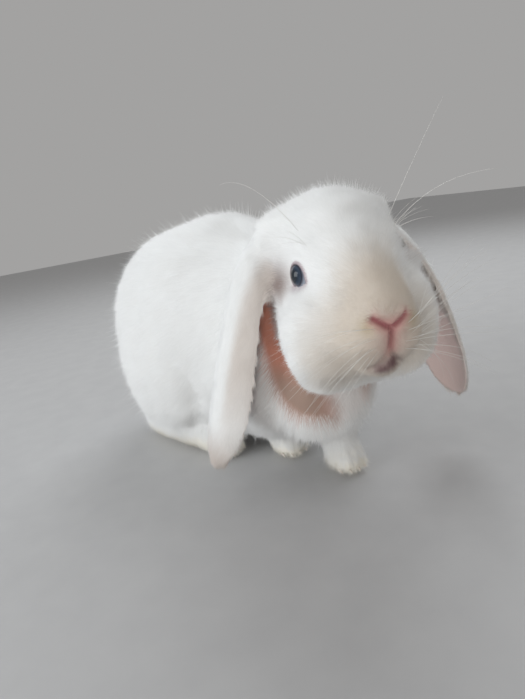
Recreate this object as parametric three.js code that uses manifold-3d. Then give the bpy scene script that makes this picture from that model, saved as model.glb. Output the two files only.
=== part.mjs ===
// A sitting lop rabbit at life size, still, as a museum model: millimetres, +Z up, nose towards -Y,
// its left side towards +X. The outer faces are the tips of the coat.
// The body is one smooth field of named masses. It is meshed, then parted into its members by thin cuts.
import * as THREE from 'three';
import { mergeVertices } from 'three/addons/utils/BufferGeometryUtils.js';
import Module from 'manifold-3d';

const wasm = await Module();
wasm.setup();

// Driving sizes
const SEAM = 0.35; // gap left by each parting cut
const TRUNK_CELL = 13.5; // mesh size on the trunk and upper legs
const HEAD_CELL = 7; // mesh size on the head
const FOOT_CELL = 8.6; // mesh size on the feet
const EYE_RADIUS = 9.5;
const EYE_AT = [21.4, 0, 0]; // centre of the left eyeball in the head's frame
const EAR_THICKNESS = 7; // the coat on both faces included
const CLAW_LENGTH = 12;
const CLAW_RADIUS = 1.8;
const WHISKER_RADIUS = 0.45;

// Three frames follow the bend of the spine. In each, -Y looks forward and +X is the left side.
const HIPS_AT = { at: [1, 92, 0], yaw: 15 };
const CHEST_AT = { at: [24, -35, 0], yaw: -11 };
const HEAD_AT = { at: [17, -106, 155], yaw: -17, pitch: 8 }; // midway between the eyes

// Where the feet stand, in the frame of the hips or of the chest
const HIND_FOOT = { side: 39, heel: 50, toe: -67 };
const FOREPAWS = [{ side: -1, x: -12, y: 33 }, { side: 1, x: 15, y: -14 }];

const rad = THREE.MathUtils.degToRad;
const vec = (x, y, z) => new THREE.Vector3(x, y, z);
const frameOf = (at, yaw = 0, pitch = 0, roll = 0) => {
  const turn = new THREE.Euler(rad(pitch), rad(roll), rad(yaw), 'ZXY');
  return new THREE.Matrix4().compose(at, new THREE.Quaternion().setFromEuler(turn), vec(1, 1, 1));
};
const memberFrame = ({ at, yaw, pitch = 0 }) => frameOf(vec(...at), yaw, pitch);
const hipsFrame = memberFrame(HIPS_AT);
const chestFrame = memberFrame(CHEST_AT);
const headFrame = memberFrame(HEAD_AT);
const bothSides = (make) => [make(-1), make(1)];
const sideName = (side) => (side < 0 ? 'right' : 'left');

// ---- masses: each gives its distance from a point, and how softly it joins its neighbours ----

function ball(at, size, { pitch = 0, yaw = 0, roll = 0, soft = 12, within = null } = {}) {
  const frame = frameOf(at, yaw, pitch, roll);
  const toOwn = (within ? within.clone().multiply(frame) : frame).invert();
  const distance = (point) => {
    const p = point.clone().applyMatrix4(toOwn).divide(size);
    const near = p.length();
    const slope = p.divide(size).length();
    return slope < 1e-9 ? -Math.min(size.x, size.y, size.z) : (near * (near - 1)) / slope;
  };
  return { distance, soft };
}

function limb(from, to, fromRadius, toRadius, { soft = 12, within = null } = {}) {
  const a = within ? from.clone().applyMatrix4(within) : from;
  const b = within ? to.clone().applyMatrix4(within) : to;
  const along = b.clone().sub(a);
  const distance = (point) => {
    const offset = point.clone().sub(a);
    const share = THREE.MathUtils.clamp(offset.dot(along) / along.lengthSq(), 0, 1);
    return offset.addScaledVector(along, -share).length() - THREE.MathUtils.lerp(fromRadius, toRadius, share);
  };
  return { distance, soft };
}

const inHips = { within: hipsFrame };
const inChest = { within: chestFrame };
const inHead = { within: headFrame };

const trunkMasses = [
  ball(vec(-4, 0, 99), vec(70, 84, 87), { ...inHips, soft: 1 }), // rump
  ball(vec(14, 40, 106), vec(61, 66, 86), { soft: 30 }), // loin
  ball(vec(25, -16, 102), vec(52, 58, 74), { soft: 24 }), // ribs
  ball(vec(0, -10, 82), vec(48, 42, 50), { ...inChest, soft: 16 }), // shoulders
  ball(vec(-3, -31, 68), vec(35, 28, 30), { ...inChest, soft: 16 }), // bib under the chin
  ball(vec(16, 30, 60), vec(50, 74, 44), { soft: 20 }), // belly
  ...bothSides((s) => ball(vec(42 * s, -4, 66), vec(35, 58, 56), { ...inHips, soft: 14 })), // thighs
];

const neckMasses = [limb(vec(23, -46, 126), vec(19, -86, 141), 40, 30, { soft: 18 })];

const headMasses = [
  ball(vec(0, 18, 5), vec(31, 40, 34), { ...inHead, soft: 16 }), // skull
  ball(vec(0, 38, -10), vec(34, 28, 38), { ...inHead, soft: 16 }), // nape
  ball(vec(0, 20, 25), vec(27, 20, 13), { ...inHead, soft: 14 }), // crown between the ears
  limb(vec(0, -4, 12), vec(0, -44, -8), 23, 16, { ...inHead, soft: 12 }), // bridge of the nose
  ball(vec(0, -38, -17), vec(22, 22, 19), { ...inHead, soft: 10 }), // muzzle
  ball(vec(0, -2, -42), vec(30, 34, 28), { ...inHead, soft: 14 }), // jaw
  ball(vec(0, -42, -39), vec(13, 14, 11), { ...inHead, soft: 8 }), // chin
  ball(vec(-22.5, -8, -35), vec(22, 32, 34), { ...inHead, soft: 12 }), // right cheek
  ball(vec(25, -8, -33), vec(23, 32, 35), { ...inHead, soft: 12 }), // left cheek, fuller as the head tilts
  ball(vec(38, 13, -13), vec(12, 13, 15), { ...inHead, soft: 9 }), // between it and the left ear
  ...bothSides((s) => ball(vec(10 * s, -48, -24), vec(12, 11.5, 14), { ...inHead, soft: 7 })), // whisker pads
  ...bothSides((s) => ball(vec(17 * s, 2, 13), vec(10, 16, 10), { ...inHead, soft: 8 })), // brows
  ...bothSides((s) => ball(vec(29 * s, 31, 20), vec(13, 14, 12), { ...inHead, soft: 10 })), // ear roots
];
const eyeCentre = (side) => vec(EYE_AT[0] * side, EYE_AT[1], EYE_AT[2]);
const eyeHollows = bothSides((s) => // where the coat parts round the eyes
  ball(eyeCentre(s).add(vec(12 * s, -2, 1)), vec(6, 10, 8.5), { ...inHead, soft: 5 }));

const TOES = [-1.5, -0.5, 0.5, 1.5]; // places across a foot, in toe widths
const HIND_TOE = { width: 6.6, setBack: 1.4, ahead: -10, z: 8, size: [5, 11, 9], soft: 4, claw: [12.5, 3.6] };
const FRONT_TOE = { width: 6, setBack: 1.6, ahead: 13, z: 7, size: [4.8, 9, 8], soft: 3, claw: [10, 3.4] };
const toeAt = ({ width, setBack, ahead, z }, x, y, n) => vec(x + width * n, y - ahead + setBack * n * n, z);
const toeMasses = (toe, x, y, within) =>
  TOES.map((n) => ball(toeAt(toe, x, y, n), vec(...toe.size), { ...within, soft: toe.soft }));
const clawTip = (toe, x, y, n) => {
  const [ahead, height] = toe.claw;
  return toeAt(toe, x, y - ahead, n).setZ(height);
};

function hindFootMasses(side) {
  const { heel, toe } = HIND_FOOT;
  const x = HIND_FOOT.side * side;
  return [
    limb(vec(x, heel - 14, 13), vec(x, toe + 18, 12), 15, 14, { ...inHips, soft: 14 }), // sole
    ball(vec(x, heel - 22, 30), vec(18, 24, 24), { ...inHips, soft: 14 }), // hock
    ...toeMasses(HIND_TOE, x, toe, inHips),
  ];
}

function forelegMasses({ side, x, y }) {
  return [
    limb(vec(25 * side, 4, 84), vec(20 * side, y / 2 + 10, 50), 25, 19, { ...inChest, soft: 16 }), // upper arm
    limb(vec(20 * side, y / 2 + 10, 50), vec(x, y + 2, 18), 19, 14, { ...inChest, soft: 12 }), // forearm
    ball(vec(x, y - 3, 10), vec(15, 17, 12), { ...inChest, soft: 8 }), // paw
    ...toeMasses(FRONT_TOE, x, y, inChest),
  ];
}

const bodyMasses = [
  ...trunkMasses, ...neckMasses, ...headMasses,
  ...bothSides(hindFootMasses).flat(), ...FOREPAWS.map(forelegMasses).flat(),
];
const smoothMin = (a, b, soft) => {
  const share = Math.max(soft - Math.abs(a - b), 0) / soft;
  return Math.min(a, b) - (share * share * soft) / 4;
};
const bodyField = (point) => {
  const full = bodyMasses.reduce((sum, mass) => smoothMin(sum, mass.distance(point), mass.soft), 1e3);
  return eyeHollows.reduce((rest, hollow) => -smoothMin(-rest, hollow.distance(point), hollow.soft), full);
};

// ---- meshing a field: one vertex in each cell that the surface crosses, one quad across each crossed edge ----

function surfaceOf(field, box, cell) {
  const size = box.getSize(vec(0, 0, 0));
  const middleOf = box.getCenter(vec(0, 0, 0));
  const [nx, ny, nz] = size.toArray().map((length) => Math.ceil(length / cell) + 1);
  const at = (i, j, k) => i + nx * (j + ny * k);
  const corner = (i, j, k) => vec(i, j, k).multiplyScalar(cell).add(box.min);
  const bounded = (p) => Math.max(field(p), ...['x', 'y', 'z'].map(
    (axis) => Math.abs(p[axis] - middleOf[axis]) - size[axis] / 2 + cell * 1.2));

  const values = new Float64Array(nx * ny * nz);
  for (let k = 0; k < nz; k++)
    for (let j = 0; j < ny; j++)
      for (let i = 0; i < nx; i++) values[at(i, j, k)] = bounded(corner(i, j, k)) || 1e-6;

  const settle = (p) => {
    for (let step = 0; step < 3; step++) {
      const here = bounded(p);
      const slope = ['x', 'y', 'z'].map((axis) => {
        const ahead = p.clone();
        ahead[axis] += 0.05;
        return (bounded(ahead) - here) / 0.05;
      });
      const steepness = Math.max(slope.reduce((sum, s) => sum + s * s, 0), 0.25);
      p.addScaledVector(vec(...slope), -here / steepness);
    }
    return p;
  };

  const positions = [];
  const vertexOf = new Int32Array(values.length).fill(-1);
  const corners = [0, 1, 2, 3, 4, 5, 6, 7].map((n) => [n & 1, (n >> 1) & 1, n >> 2]);
  for (let k = 0; k + 1 < nz; k++)
    for (let j = 0; j + 1 < ny; j++)
      for (let i = 0; i + 1 < nx; i++) {
        const held = corners.map(([a, b, c]) => values[at(i + a, j + b, k + c)]);
        if (held.every((v) => v > 0) || held.every((v) => v < 0)) continue;
        const crossings = [];
        corners.forEach((near, n) => [1, 2, 4].filter((bit) => !(n & bit)).forEach((bit) => {
          const m = n | bit;
          if (held[n] > 0 === held[m] > 0) return;
          crossings.push(vec(...near).lerp(vec(...corners[m]), held[n] / (held[n] - held[m])));
        }));
        const middle = crossings.reduce((sum, c) => sum.add(c), vec(0, 0, 0)).divideScalar(crossings.length);
        vertexOf[at(i, j, k)] = positions.length / 3;
        positions.push(...settle(middle.add(vec(i, j, k)).multiplyScalar(cell).add(box.min)).toArray());
      }

  const point = (n) => vec(...positions.slice(3 * n, 3 * n + 3));
  const index = [];
  const quad = (a, b, c, d) => {
    if (point(a).distanceTo(point(c)) < point(b).distanceTo(point(d))) index.push(a, b, c, a, c, d);
    else index.push(b, c, d, b, d, a);
  };
  const rings = [
    [[1, 0, 0], [[0, 1, 1], [0, 0, 1], [0, 0, 0], [0, 1, 0]]],
    [[0, 1, 0], [[1, 0, 1], [1, 0, 0], [0, 0, 0], [0, 0, 1]]],
    [[0, 0, 1], [[1, 1, 0], [0, 1, 0], [0, 0, 0], [1, 0, 0]]],
  ];
  for (let k = 1; k + 1 < nz; k++)
    for (let j = 1; j + 1 < ny; j++)
      for (let i = 1; i + 1 < nx; i++)
        rings.forEach(([[x, y, z], ring]) => {
          const here = values[at(i, j, k)];
          if (here > 0 === values[at(i + x, j + y, k + z)] > 0) return;
          const cells = ring.map(([a, b, c]) => vertexOf[at(i - a, j - b, k - c)]);
          quad(...(here < 0 ? cells : cells.reverse()));
        });
  return new THREE.BufferGeometry()
    .setAttribute('position', new THREE.Float32BufferAttribute(positions, 3))
    .setIndex(index);
}

// ---- solids for cutting and joining ----

function solidOf(geometry, matrix = null) {
  const bare = geometry.clone();
  bare.deleteAttribute('normal');
  bare.deleteAttribute('uv');
  const merged = mergeVertices(bare, 1e-4);
  if (matrix) merged.applyMatrix4(matrix);
  return new wasm.Manifold(new wasm.Mesh({
    numProp: 3,
    vertProperties: new Float32Array(merged.attributes.position.array),
    triVerts: new Uint32Array(merged.index.array),
  }));
}

function geometryOf(solid) {
  const mesh = solid.getMesh();
  return new THREE.BufferGeometry()
    .setAttribute('position', new THREE.BufferAttribute(new Float32Array(mesh.vertProperties), 3))
    .setIndex(new THREE.BufferAttribute(new Uint32Array(mesh.triVerts), 1));
}

// A copy of a surface moved outwards, for cutting what stands on it with a small gap
function grown(geometry, by) {
  const copy = geometry.clone();
  copy.computeVertexNormals();
  const { position, normal } = copy.attributes;
  for (let n = 0; n < position.count; n++)
    position.setXYZ(n, ...['X', 'Y', 'Z'].map((a) => position[`get${a}`](n) + by * normal[`get${a}`](n)));
  return copy;
}

const regionIn = (frame, min, max, spread = 0) => {
  const low = vec(...min).subScalar(spread);
  const high = vec(...max).addScalar(spread);
  const size = high.clone().sub(low);
  const place = frame.clone().multiply(new THREE.Matrix4().setPosition(low.add(high).divideScalar(2)));
  return solidOf(new THREE.BoxGeometry(size.x, size.y, size.z), place);
};

// ---- lofts: a ring of points at each station along a line, closed at both ends ----

function loft(line, ringAt, stations, ringSize) {
  const positions = [];
  for (let i = 0; i <= stations; i++)
    for (let j = 0; j < ringSize; j++)
      positions.push(...ringAt(i / stations, (2 * Math.PI * j) / ringSize).toArray());
  const startPole = ringSize * (stations + 1);
  positions.push(...line.getPoint(0).toArray(), ...line.getPoint(1).toArray());
  const index = [];
  for (let j = 0; j < ringSize; j++) {
    const k = (j + 1) % ringSize;
    index.push(startPole, k, j);
    for (let i = 0; i < stations; i++) {
      const [a, b] = [i * ringSize + j, i * ringSize + k];
      index.push(a, b, b + ringSize, a, b + ringSize, a + ringSize);
    }
    index.push(startPole + 1, stations * ringSize + j, stations * ringSize + k);
  }
  return new THREE.BufferGeometry()
    .setAttribute('position', new THREE.Float32BufferAttribute(positions, 3))
    .setIndex(index);
}

const lineThrough = (points) =>
  new THREE.CatmullRomCurve3(points.map(([x, y, z]) => vec(x, y, z)), false, 'centripetal');

// ---- ears: a curved sheet that widens towards a rounded tip, hollow on the side of the cheek ----
// Lines are in the head's frame. `facing` is how far the outer face turns from sideways to the front.

const EARS = [
  {
    side: -1,
    facing: 14,
    line: [[-22, 31, 8], [-36, 34, 13], [-48, 34, -2], [-60, 33, -34], [-75, 33, -84], [-91, 34, -136]],
  },
  {
    side: 1,
    facing: -18,
    line: [[22, 31, 8], [35, 35, 12], [48, 36, -3], [64, 36, -31], [80, 36, -74], [93, 33, -123]],
  },
];
const EAR_WIDTHS = [20, 28, 38, 47, 49, 46];
const EAR_TIP = 0.82; // share of its length where the edges turn in to the rounded tip
const EAR_STATIONS = 13;
const EAR_RING = 12;
const EAR_CURL = 0.3; // depth of its hollow as a share of its width

function earGeometry({ side, facing, line }) {
  const spine = lineThrough(line);
  const widths = lineThrough(EAR_WIDTHS.map((width, n) => [width, n, 0]));
  const outward = vec(Math.cos(rad(facing)) * side, -Math.sin(rad(facing)), 0);
  const ringAt = (station, angle) => {
    const share = 1 - (1 - station) ** 1.5; // stations draw together at the tip
    const along = spine.getTangent(share);
    const out = outward.clone().addScaledVector(along, -outward.dot(along)).normalize();
    const turnedIn = Math.max(0, (share - EAR_TIP) / (1 - EAR_TIP));
    const width = widths.getPoint(share).x * Math.sqrt(1.01 - turnedIn ** 2);
    const thickness = EAR_THICKNESS * Math.min(1, 0.45 + width / 60);
    const bulge = EAR_CURL * width * (Math.sin(angle) ** 2 - 0.5);
    return spine.getPoint(share)
      .addScaledVector(out.clone().cross(along), (width / 2) * Math.cos(angle))
      .addScaledVector(out, bulge + (thickness / 2) * Math.sin(angle));
  };
  return loft(spine, ringAt, EAR_STATIONS, EAR_RING);
}

// ---- long whiskers over the eyes, in the head's frame ----

const BROW_WHISKERS = {
  brow_whisker_left_1: [[24, -4, 22], [38, -6, 50], [55, -8, 81]],
  brow_whisker_left_2: [[25, -6, 17], [46, -17, 38], [72, -31, 45]],
  brow_whisker_right_1: [[-24, 2, 24], [-44, 10, 48], [-60, 22, 52]],
};
const WHISKER_STATIONS = 9;
const WHISKER_RING = 5;

function whiskerGeometry(points) {
  const line = lineThrough(points);
  const ringAt = (share, angle) => {
    const along = line.getTangent(share);
    const across = vec(0, 1, 0).cross(along).normalize();
    const radius = WHISKER_RADIUS * (1 - 0.4 * share);
    return line.getPoint(share)
      .addScaledVector(across, radius * Math.cos(angle))
      .addScaledVector(along.cross(across), radius * Math.sin(angle));
  };
  return loft(line, ringAt, WHISKER_STATIONS, WHISKER_RING);
}

// ---- claws: each points forwards and a little down from its toe ----

function clawGeometry(tip) {
  return new THREE.ConeGeometry(CLAW_RADIUS, CLAW_LENGTH, 6)
    .translate(0, -CLAW_LENGTH / 2, 0)
    .rotateX(Math.PI + rad(12))
    .translate(tip.x, tip.y, tip.z);
}

// ---- parting the body into members ----
// Each member is the part of the surface inside its region. A region is a box in a frame of its own,
// and what is left for the next member is cut with the same box made larger by the seam.

const FAR = 400;
const everywhere = new THREE.Matrix4();
const throatFrame = headFrame.clone().multiply(frameOf(vec(0, 33, 0), 0, -26));
const bodyBox = new THREE.Box3(vec(-120, -190, -25), vec(130, 205, 220));
const boxAround = (frame, min, max, cell) =>
  new THREE.Box3(vec(...min), vec(...max)).applyMatrix4(frame).intersect(bodyBox).expandByScalar(2.5 * cell);

const besideHips = (side, [back, bottom], [front, top]) => ({
  frame: hipsFrame,
  min: [side < 0 ? -FAR : 20, back, bottom],
  max: [side < 0 ? -20 : FAR, front, top],
});
const FOREPAW_TOP = 16;
const FORELEG_TOP = 46;
const forepawRegion = ({ side, x, y }, bottom, top) => ({
  frame: chestFrame,
  min: [x - 25, side < 0 ? y - 23 : y - 34, bottom],
  max: [x + 25, side < 0 ? y + 27 : y + 23.3, top],
});
const members = [
  { name: 'head', cell: HEAD_CELL, frame: throatFrame, min: [-90, -130, -130], max: [90, 0, 90] },
  { name: 'neck', cell: TRUNK_CELL, frame: throatFrame, min: [-FAR, -20, -70], max: [FAR, 26, FAR] },
  ...bothSides((s) => ({
    name: `hind_foot_${sideName(s)}`, cell: FOOT_CELL, ...besideHips(s, [-90, -30], [80, 25]),
  })),
  ...bothSides((s) => ({
    name: `thigh_${sideName(s)}`, cell: TRUNK_CELL, ...besideHips(s, [-62, 20], [66, 118]),
  })),
  ...FOREPAWS.map((paw) => ({
    name: `forepaw_${sideName(paw.side)}`, cell: FOOT_CELL, ...forepawRegion(paw, -30, FOREPAW_TOP),
  })),
  ...FOREPAWS.map((paw) => ({
    name: `foreleg_${sideName(paw.side)}`, cell: FOOT_CELL, ...forepawRegion(paw, 0, FORELEG_TOP),
  })),
  { name: 'trunk', cell: TRUNK_CELL, frame: everywhere, min: [-FAR, -FAR, 0], max: [FAR, FAR, FAR] },
];

const largest = (solid) =>
  solid.decompose().reduce((best, piece) => (piece.volume() > best.volume() ? piece : best));

const surfaces = new Map(); // one mesh of the whole body, and finer ones where a member asks for one
function surfaceFor({ cell, frame, min, max, name }) {
  const key = cell === TRUNK_CELL ? 'body' : name;
  if (!surfaces.has(key))
    surfaces.set(key, surfaceOf(bodyField, key === 'body' ? bodyBox : boxAround(frame, min, max, cell), cell));
  return surfaces.get(key);
}

const floorBlock = regionIn(everywhere, [-FAR, -FAR, -FAR], [FAR, FAR, 0]);
const solids = {};
members.reduce((taken, member) => {
  const { name, frame, min, max } = member;
  const whole = solidOf(surfaceFor(member)).intersect(regionIn(frame, min, max));
  solids[name] = largest(taken.reduce((rest, cutter) => rest.subtract(cutter), whole).subtract(floorBlock));
  return [...taken, regionIn(frame, min, max, SEAM)];
}, []);

// ---- what stands on the body is cut clear of it ----

const standsOn = [surfaces.get('body'), surfaces.get('head')].map((surface) => solidOf(grown(surface, SEAM)));
const clearOf = (solid, cutters) => largest(cutters.reduce((rest, cutter) => rest.subtract(cutter), solid));

bothSides((s) => {
  const place = headFrame.clone().multiply(new THREE.Matrix4().setPosition(eyeCentre(s)));
  const globe = (radius) => new THREE.SphereGeometry(radius, 14, 9);
  solids[`eye_${sideName(s)}`] = solidOf(globe(EYE_RADIUS), place);
  solids.head = largest(solids.head.subtract(solidOf(globe(EYE_RADIUS + SEAM), place)));
});
const eyeGuards = bothSides((s) => solidOf(new THREE.SphereGeometry(EYE_RADIUS + 2 * SEAM, 12, 8),
  headFrame.clone().multiply(new THREE.Matrix4().setPosition(eyeCentre(s)))));
EARS.forEach((ear) => {
  solids[`ear_${sideName(ear.side)}`] = clearOf(solidOf(earGeometry(ear), headFrame), standsOn);
});
Object.entries(BROW_WHISKERS).forEach(([name, points]) => {
  solids[name] = clearOf(solidOf(whiskerGeometry(points), headFrame), [...standsOn, ...eyeGuards]);
});

const tailField = (point) =>
  ball(vec(-3, 82, 72), vec(19, 17, 27), { ...inHips, pitch: -12 }).distance(point);
const tailBox = boxAround(hipsFrame, [-24, 60, 42], [20, 102, 102], 0);
solids.tail = clearOf(solidOf(surfaceOf(tailField, tailBox.expandByScalar(14), 8.5)), standsOn);

function addClaws(name, footName, frame, tipAt) {
  const foot = solidOf(grown(surfaces.get(footName), SEAM));
  TOES.forEach((n, count) => {
    solids[`${name}_${count + 1}`] = largest(solidOf(clawGeometry(tipAt(n)), frame).subtract(foot));
  });
}
bothSides((s) => addClaws(`hind_claw_${sideName(s)}`, `hind_foot_${sideName(s)}`, hipsFrame,
  (n) => clawTip(HIND_TOE, HIND_FOOT.side * s, HIND_FOOT.toe, n)));
FOREPAWS.forEach(({ side, x, y }) => addClaws(`front_claw_${sideName(side)}`, `forepaw_${sideName(side)}`,
  chestFrame, (n) => clawTip(FRONT_TOE, x, y, n)));

// ---- finishes ----

const FINISHES = {
  coat: { color: 0xeceeee, roughness: 0.95, metalness: 0 },
  eye: { color: 0x2c3a56, roughness: 0.08, metalness: 0 },
  claw: { color: 0xcabfae, roughness: 0.45, metalness: 0 },
  whisker: { color: 0xf4f2ec, roughness: 0.5, metalness: 0 },
};
const finishOf = (name) => Object.keys(FINISHES).find((kind) => name.includes(kind)) ?? 'coat';

const group = new THREE.Group();
Object.entries(solids).forEach(([name, solid]) => {
  const mesh = new THREE.Mesh(geometryOf(solid), new THREE.MeshStandardMaterial(FINISHES[finishOf(name)]));
  mesh.name = name;
  group.add(mesh);
});

// The origin is put at the middle of the underside of the whole model.
const extent = new THREE.Box3().setFromObject(group, true);
const middle = extent.getCenter(vec(0, 0, 0));
group.position.set(-middle.x, -middle.y, -extent.min.z);
export default group;
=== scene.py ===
# A white lop rabbit, sitting: one skin over the frame's flesh, a coat of mesh tufts, eyes, claws and whiskers.
import math

import bmesh
import bpy
import numpy as np
from mathutils import Matrix, Vector, noise
from mathutils.bvhtree import BVHTree


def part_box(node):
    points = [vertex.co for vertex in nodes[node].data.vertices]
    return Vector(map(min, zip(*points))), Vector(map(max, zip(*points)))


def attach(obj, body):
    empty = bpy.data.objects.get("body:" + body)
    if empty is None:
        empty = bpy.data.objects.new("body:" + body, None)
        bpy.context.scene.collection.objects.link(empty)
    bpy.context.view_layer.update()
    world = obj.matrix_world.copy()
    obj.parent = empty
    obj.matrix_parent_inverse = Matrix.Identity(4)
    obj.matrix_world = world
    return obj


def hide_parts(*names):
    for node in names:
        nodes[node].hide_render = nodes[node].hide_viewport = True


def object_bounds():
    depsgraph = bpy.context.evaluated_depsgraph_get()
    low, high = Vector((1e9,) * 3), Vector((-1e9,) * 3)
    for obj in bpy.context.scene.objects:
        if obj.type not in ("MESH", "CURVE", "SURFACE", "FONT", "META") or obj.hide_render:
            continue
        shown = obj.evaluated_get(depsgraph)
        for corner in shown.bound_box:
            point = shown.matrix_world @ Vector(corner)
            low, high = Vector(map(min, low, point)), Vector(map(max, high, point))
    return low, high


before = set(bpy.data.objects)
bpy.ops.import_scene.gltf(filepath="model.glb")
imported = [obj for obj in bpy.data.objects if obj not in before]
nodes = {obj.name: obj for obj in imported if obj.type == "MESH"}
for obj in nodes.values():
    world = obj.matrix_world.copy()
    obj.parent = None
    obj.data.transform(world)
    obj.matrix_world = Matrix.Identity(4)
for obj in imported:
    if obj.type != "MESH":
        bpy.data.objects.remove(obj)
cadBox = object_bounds()
millimetre = 0.001
seeded = np.random.default_rng(41)
sides = {"right": -1, "left": 1}

# ---- places worked out from the frame ----

posture = {"headPitch": 8}  # degrees, nose down


def middleOf(node):
    low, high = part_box(node)
    return (Vector(low) + Vector(high)) / 2


def headFrame():  # X to its left, Y backwards, Z up, from midway between the eyes
    right, left = middleOf("eye_right"), middleOf("eye_left")
    across = (left - right).normalized()
    back = Vector((-across.y, across.x, 0)).normalized()
    turn = Matrix((across, back, across.cross(back))).transposed().to_4x4()
    return Matrix.Translation((right + left) / 2) @ turn @ Matrix.Rotation(math.radians(posture["headPitch"]), 4, "X")


head = headFrame()
headTurn = np.array(head)[:3, :3]
headPlace = np.array(head.translation)


def toHead(points):  # metres to the head's own millimetres
    return (points - headPlace) @ headTurn / millimetre


def fromHead(points):
    return np.asarray(points, float) * millimetre @ headTurn.T + headPlace


def smoothStep(low, high, value):
    share = np.clip((value - low) / (high - low), 0, 1)
    return share * share * (3 - 2 * share)


def unit(vectors):
    return vectors / np.maximum(np.linalg.norm(vectors, axis=-1, keepdims=True), 1e-12)


def dot(a, b):
    return (a * b).sum(-1, keepdims=True)


def along(line, points):  # distance to a line of points, and how far along it the nearest place is
    line = np.asarray(line, float)
    best = np.full(len(points), 1e9)
    share = np.zeros(len(points))
    for n, (a, b) in enumerate(zip(line, line[1:])):
        t = np.clip(((points - a) @ (b - a)) / ((b - a) @ (b - a)), 0, 1)
        away = np.linalg.norm(points - a - t[:, None] * (b - a), axis=1)
        nearer = away < best
        best = np.where(nearer, away, best)
        share = np.where(nearer, (n + t) / (len(line) - 1), share)
    return best, share


def bump(away, reach):
    return np.exp(-(away / reach) ** 2)


print("places ready")

# ---- lengths of the coat ----

coatSettings = {
    "kinds": {  # length and width in mm, lift in degrees, tufts in a square mm
        "trunk": (12.5, 0.5, 17, 1.5), "neck": (12, 0.48, 17, 1.55), "thigh": (12.5, 0.5, 17, 1.5),
        "tail": (13, 0.5, 22, 1.7), "hind_foot": (7.5, 0.4, 22, 2.1), "foreleg": (8, 0.42, 18, 1.9),
        "forepaw": (7, 0.36, 25, 2.5), "ear": (5.5, 0.36, 10, 2.3), "head": (6.5, 0.36, 16, 2.8),
    },
    "flatness": 0.35,  # a tuft's thickness as a share of its width
    "spread": 0.2,  # spread of lengths
    "turn": 0.17,  # spread of directions
    "softness": 0.85,  # how far a tuft is shaded as the surface it lies on
    "pieceTufts": 46000,
    "strayShare": 0.025,  # finer hairs that stand out of the coat
    "ruffle": {"lie": 0.5, "light": 0.36},  # how far locks turn, and how far they catch the light
    "earFluff": {"ear_right": 0.1, "ear_left": 1},
    "fluff": {"length": 1.1, "lift": 24, "density": 0.6},  # more of each, in the folds by the ears
}


def riseOf(kind):  # how high the tips of the coat stand over the skin
    length, _, lift, _ = coatSettings["kinds"][kind]
    return length * math.sin(math.radians(lift)) * millimetre


# ---- the skin ----

fleshNodes = [name for name in nodes if not name.startswith(("eye", "hind_claw", "front_claw", "brow"))]
skinSettings = {
    "voxel": 2.05 * millimetre,
    "overlap": 0.5 * millimetre,  # closes the parting cuts
    "rounds": 44,
    "smoothing": {  # how strongly the facets are smoothed away
        "trunk": 0.55, "neck": 0.55, "thigh": 0.55, "tail": 0.4, "hind_foot": 0.2, "foreleg": 0.35, "forepaw": 0.12,
        "ear": 0.3, "head": 0.24,
    },
}


def kindOf(name):  # the skin over an eye belongs to the head
    return next((kind for kind in coatSettings["kinds"] if name.startswith(kind)), "head")


def fleshMesh(names):
    points, faces, owners = [], [], []
    for name in names:
        work = bmesh.new()
        work.from_mesh(nodes[name].data)
        bmesh.ops.remove_doubles(work, verts=work.verts, dist=1e-6)
        work.normal_update()
        count = len(points)
        points += [v.co + v.normal * skinSettings["overlap"] for v in work.verts]
        faces += [[v.index + count for v in f.verts] for f in work.faces]
        owners += [name] * len(work.faces)
        work.free()
    return points, faces, owners


def newObject(name, points, faces):
    mesh = bpy.data.meshes.new(name)
    mesh.from_pydata([tuple(p) for p in points], [], faces)
    mesh.validate()
    made = bpy.data.objects.new(name, mesh)
    bpy.context.collection.objects.link(made)
    return made


def remeshed(source, voxel):
    modifier = source.modifiers.new("remesh", "REMESH")
    modifier.mode = "VOXEL"
    modifier.voxel_size = voxel
    graph = bpy.context.evaluated_depsgraph_get()
    mesh = bpy.data.meshes.new_from_object(source.evaluated_get(graph))
    source.modifiers.clear()
    source.data = mesh
    return source


def pointsOf(mesh):
    flat = np.empty(len(mesh.vertices) * 3, np.float32)
    mesh.vertices.foreach_get("co", flat)
    return flat.reshape(-1, 3).astype(float)


def normalsOf(mesh):
    flat = np.empty(len(mesh.vertices) * 3, np.float32)
    mesh.vertices.foreach_get("normal", flat)
    return flat.reshape(-1, 3).astype(float)


def setPoints(mesh, points):
    mesh.vertices.foreach_set("co", points.astype(np.float32).ravel())
    mesh.update()


class Spread:  # averages values over each vertex's neighbours
    def __init__(self, mesh):
        edges = np.empty(len(mesh.edges) * 2, np.int32)
        mesh.edges.foreach_get("vertices", edges)
        a, b = edges.reshape(-1, 2).T
        self.ends = np.concatenate([a, b])
        self.others = np.concatenate([b, a])
        self.count = len(mesh.vertices)
        self.degree = np.maximum(np.bincount(self.ends, minlength=self.count), 1)

    def mean(self, values):
        if values.ndim == 1:
            return np.bincount(self.ends, values[self.others], self.count) / self.degree
        return np.stack([self.mean(column) for column in values.T], 1)

    def smooth(self, values, rounds, weight=0.5):
        weight = weight[:, None] if np.ndim(weight) and values.ndim > 1 else weight
        for _ in range(rounds):
            values = values + weight * (self.mean(values) - values)
        return values


def nearestNames(points, tree, owners):
    return np.array([owners[tree.find_nearest(Vector(p))[2]] for p in points])


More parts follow.
